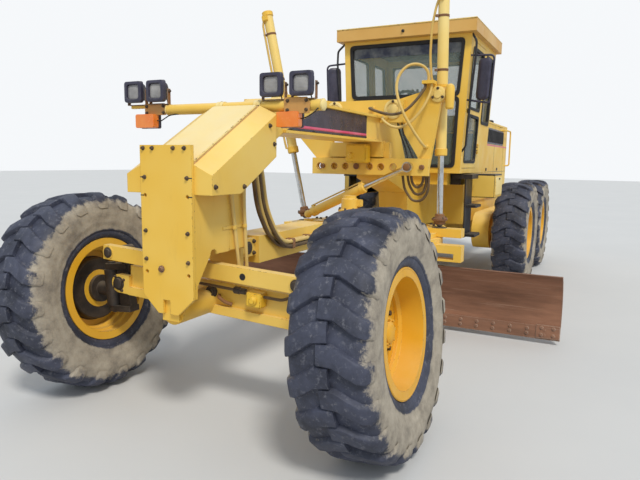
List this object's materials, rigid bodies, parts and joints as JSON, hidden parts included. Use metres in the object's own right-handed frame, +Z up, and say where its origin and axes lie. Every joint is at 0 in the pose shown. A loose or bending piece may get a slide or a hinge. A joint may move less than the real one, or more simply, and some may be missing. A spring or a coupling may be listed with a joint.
{
  "type": "motor grader",
  "caption": "Road grader with a gooseneck front frame, leaning steered wheels, a turning blade under the frame, an enclosed cab and a hinged rear frame on tandem wheels.",
  "frame": {"origin": "on the ground, under the middle of the machine's length and width", "axes": "+X forward, +Y to the machine's left, +Z up"},
  "size_m": [8.714, 3.71, 3.1608],
  "materials": {
    "yellow_paint": "faded, dusty",
    "dark_paint": "dirty",
    "tyre_rubber": "dusty",
    "lamp_black": "matte",
    "signal_orange": "gloss",
    "tinted_glass": "tinted",
    "seat_fabric": "woven",
    "console_plastic": "matte",
    "boot_rubber": "matte",
    "rod_chrome": "polished",
    "worn_steel": "rusty, worn",
    "edge_steel": "worn",
    "engine_iron": "cast"
  },
  "bodies": {
    "front": {"front_frame": "yellow_paint", "front_plate": "yellow_paint", "lift_arms": "yellow_paint", "front_axle": "yellow_paint", "lamp_bar": "yellow_paint", "work_lamps": "lamp_black", "turn_signals": "signal_orange", "cab_shell": "yellow_paint", "cab_roof": "yellow_paint", "cab_glass": "tinted_glass", "seat": "seat_fabric", "console": "console_plastic", "mirrors": "dark_paint", "side_steps": "dark_paint", "hose_inner": "boot_rubber", "hose_outer": "boot_rubber", "hose_loop": "boot_rubber"},
    "lean_left": {"lean_yoke_left": "dark_paint"},
    "lean_right": {"lean_yoke_right": "dark_paint"},
    "lean_link": {"lean_bar": "yellow_paint"},
    "knuckle_left": {"knuckle_left": "dark_paint"},
    "knuckle_right": {"knuckle_right": "dark_paint"},
    "tie_boot": {"tie_rod_boot": "boot_rubber"},
    "tie_rod": {"tie_rod": "dark_paint"},
    "rear": {"rear_frame": "yellow_paint", "rear_rails": "yellow_paint", "rear_beams": "yellow_paint", "engine_block": "engine_iron", "hood": "yellow_paint", "tandem_cases": "yellow_paint", "stacks": "dark_paint"},
    "door_left": {"door_left": "yellow_paint"},
    "door_right": {"door_right": "yellow_paint"},
    "drawbar_socket": {"drawbar_pivot": "dark_paint"},
    "drawbar": {"drawbar": "yellow_paint"},
    "circle": {"circle": "yellow_paint"},
    "blade_carrier": {"blade_carrier": "yellow_paint"},
    "blade": {"moldboard": "worn_steel", "cutting_edge": "edge_steel"},
    "lift_ring_left": {"lift_ring_left": "yellow_paint"},
    "lift_ring_right": {"lift_ring_right": "yellow_paint"},
    "lift_cylinder_left": {"lift_barrel_left": "yellow_paint"},
    "lift_cylinder_right": {"lift_barrel_right": "yellow_paint"},
    "lift_rod_left": {"lift_rod_left": "rod_chrome"},
    "lift_rod_right": {"lift_rod_right": "rod_chrome"},
    "shift_ring": {"shift_ring": "yellow_paint"},
    "shift_rod": {"shift_rod": "rod_chrome"},
    "shift_cylinder": {"shift_barrel": "yellow_paint"},
    "wheel_front_left": {"tyre_front_left": "tyre_rubber", "rim_front_left": "yellow_paint"},
    "wheel_front_right": {"tyre_front_right": "tyre_rubber", "rim_front_right": "yellow_paint"},
    "wheel_mid_left": {"tyre_mid_left": "tyre_rubber", "rim_mid_left": "yellow_paint"},
    "wheel_mid_right": {"tyre_mid_right": "tyre_rubber", "rim_mid_right": "yellow_paint"},
    "wheel_rear_left": {"tyre_rear_left": "tyre_rubber", "rim_rear_left": "yellow_paint"},
    "wheel_rear_right": {"tyre_rear_right": "tyre_rubber", "rim_rear_right": "yellow_paint"}
  },
  "joints": [
    {"name": "wheel_lean", "type": "hinge", "parent": "front", "child": "lean_left", "pos_m": [3.683, 0.6992, 0.70644], "axis": [1, 0, 0], "range_deg": [-25.75, 10.25]},
    {"name": "wheel_lean_right", "type": "hinge", "parent": "front", "child": "lean_right", "pos_m": [3.683, -0.6992, 0.77355], "axis": [1, 0, 0], "range_deg": [-25.76, 10.26]},
    {"name": "lean_bar_pin", "type": "hinge", "parent": "lean_left", "child": "lean_link", "pos_m": [3.683, 0.68046, 0.92063], "axis": [1, 0, 0], "range_deg": [-10.26, 25.76]},
    {"name": "steering", "type": "hinge", "parent": "lean_left", "child": "knuckle_left", "pos_m": [3.683, 0.85859, 0.72039], "axis": [0, -0.0872, 0.9962], "range_deg": [-45, 45]},
    {"name": "steering_right", "type": "hinge", "parent": "lean_right", "child": "knuckle_right", "pos_m": [3.683, -0.85859, 0.75961], "axis": [0, -0.0872, 0.9962], "range_deg": [-45.01, 45.01]},
    {"name": "tie_rod_turn", "type": "hinge", "parent": "knuckle_left", "child": "tie_boot", "pos_m": [3.443, 0.87079, 0.58092], "axis": [0, -0.0872, 0.9962], "range_deg": [-45.01, 45.01]},
    {"name": "tie_rod_tilt", "type": "hinge", "parent": "tie_boot", "child": "tie_rod", "pos_m": [3.443, 0.87079, 0.58092], "axis": [1, 0, 0], "range_deg": [-8.85, 21.46]},
    {"name": "front_wheel_left_spin", "type": "hinge", "parent": "knuckle_left", "child": "wheel_front_left", "pos_m": [3.683, 1.08781, 0.68189], "axis": [0, 0.9962, 0.0872], "continuous": true},
    {"name": "front_wheel_right_spin", "type": "hinge", "parent": "knuckle_right", "child": "wheel_front_right", "pos_m": [3.683, -1.07765, 0.68189], "axis": [0, 0.9962, 0.0872], "continuous": true},
    {"name": "mid_wheel_left_spin", "type": "hinge", "parent": "rear", "child": "wheel_mid_left", "pos_m": [-1.641, 1.035, 0.674], "axis": [0, 1, 0], "continuous": true},
    {"name": "rear_wheel_left_spin", "type": "hinge", "parent": "rear", "child": "wheel_rear_left", "pos_m": [-3.165, 1.035, 0.674], "axis": [0, 1, 0], "continuous": true},
    {"name": "mid_wheel_right_spin", "type": "hinge", "parent": "rear", "child": "wheel_mid_right", "pos_m": [-1.641, -1.035, 0.674], "axis": [0, 1, 0], "continuous": true},
    {"name": "rear_wheel_right_spin", "type": "hinge", "parent": "rear", "child": "wheel_rear_right", "pos_m": [-3.165, -1.035, 0.674], "axis": [0, 1, 0], "continuous": true},
    {"name": "articulation", "type": "hinge", "parent": "front", "child": "rear", "pos_m": [-1.017, 0, 1.07], "axis": [0, 0, 1], "range_deg": [-20, 20]},
    {"name": "cab_door_left", "type": "hinge", "parent": "front", "child": "door_left", "pos_m": [-0.557, 0.68398, 1.47934], "axis": [0, 0.0472, 0.9989], "range_deg": [0, 95]},
    {"name": "cab_door_right", "type": "hinge", "parent": "front", "child": "door_right", "pos_m": [-0.557, -0.68398, 1.47934], "axis": [0, 0.0472, -0.9989], "range_deg": [0, 95]},
    {"name": "drawbar_swing", "type": "hinge", "parent": "front", "child": "drawbar_socket", "pos_m": [3.443, 0, 1.03], "axis": [0, 0, 1], "range_deg": [-8.5, 8.5]},
    {"name": "drawbar_lift", "type": "hinge", "parent": "drawbar_socket", "child": "drawbar", "pos_m": [3.443, 0, 1.03], "axis": [0, 1, 0], "range_deg": [-16, 6]},
    {"name": "circle_turn", "type": "hinge", "parent": "drawbar", "child": "circle", "pos_m": [1.233, 0, 0.85], "axis": [0, 0, 1], "continuous": true},
    {"name": "blade_tip", "type": "hinge", "parent": "circle", "child": "blade_carrier", "pos_m": [0.923, 0, 0.36], "axis": [0, 1, 0], "range_deg": [-5, 40]},
    {"name": "blade_shift", "type": "slide", "parent": "blade_carrier", "child": "blade", "axis": [0, 1, 0], "range_m": [-0.2, 0.5]},
    {"name": "lift_ring_left_swing", "type": "hinge", "parent": "front", "child": "lift_ring_left", "pos_m": [1.132, 0.7, 2.21], "axis": [1, 0, 0], "range_deg": [-15.4, 15.4]},
    {"name": "lift_cylinder_left_pitch", "type": "hinge", "parent": "lift_ring_left", "child": "lift_cylinder_left", "pos_m": [1.132, 0.7, 2.21], "axis": [0, 0.9998, 0.0212], "range_deg": [-1.7, 0.95]},
    {"name": "lift_rod_left_travel", "type": "slide", "parent": "lift_cylinder_left", "child": "lift_rod_left", "axis": [0, -0.0212, 0.9998], "range_m": [-0.6465, 0.24306]},
    {"name": "lift_ring_right_swing", "type": "hinge", "parent": "front", "child": "lift_ring_right", "pos_m": [1.132, -1, 2.215], "axis": [1, 0, 0], "range_deg": [-14.72, 14.72]},
    {"name": "lift_cylinder_right_pitch", "type": "hinge", "parent": "lift_ring_right", "child": "lift_cylinder_right", "pos_m": [1.132, -1, 2.215], "axis": [0, 0.975, 0.2222], "range_deg": [-1.7, 0.95]},
    {"name": "lift_rod_right_travel", "type": "slide", "parent": "lift_cylinder_right", "child": "lift_rod_right", "axis": [0, -0.2222, 0.975], "range_m": [-0.66289, 0.24921]},
    {"name": "shift_cylinder_pitch", "type": "hinge", "parent": "front", "child": "shift_ring", "pos_m": [1.383, 0.472, 1.551], "axis": [1, 0, 0], "range_deg": [-16.2, 30]},
    {"name": "shift_cylinder_swing", "type": "hinge", "parent": "shift_ring", "child": "shift_rod", "pos_m": [1.383, 0.472, 1.551], "axis": [1, 0, 0], "range_deg": [-11.1, 11.1]},
    {"name": "shift_cylinder_travel", "type": "slide", "parent": "shift_rod", "child": "shift_cylinder", "axis": [0, -0.9037, -0.4282], "range_m": [-0.275, 0.275]}
  ],
  "couplings": [
    {"joint": "wheel_lean_right", "follows": "wheel_lean", "ratio": 1},
    {"joint": "lean_bar_pin", "follows": "wheel_lean", "ratio": -1},
    {"joint": "steering_right", "follows": "steering", "ratio": 1},
    {"joint": "tie_rod_turn", "follows": "steering", "ratio": -1},
    {"joint": "tie_rod_tilt", "follows": "wheel_lean", "ratio": -0.81395},
    {"joint": "lift_ring_left_swing", "follows": "drawbar_swing", "ratio": -1.8},
    {"joint": "lift_cylinder_left_pitch", "follows": "drawbar_lift", "ratio": 0.1},
    {"joint": "lift_rod_left_travel", "follows": "drawbar_lift", "m_per_rad": 2.3115},
    {"joint": "lift_ring_right_swing", "follows": "drawbar_swing", "ratio": -1.72},
    {"joint": "lift_cylinder_right_pitch", "follows": "drawbar_lift", "ratio": 0.1},
    {"joint": "lift_rod_right_travel", "follows": "drawbar_lift", "m_per_rad": 2.3702},
    {"joint": "shift_cylinder_pitch", "follows": "drawbar_lift", "ratio": -1.86},
    {"joint": "shift_cylinder_swing", "follows": "drawbar_swing", "ratio": -0.88},
    {"joint": "shift_cylinder_travel", "follows": "drawbar_swing", "m_per_rad": 1.813}
  ]
}
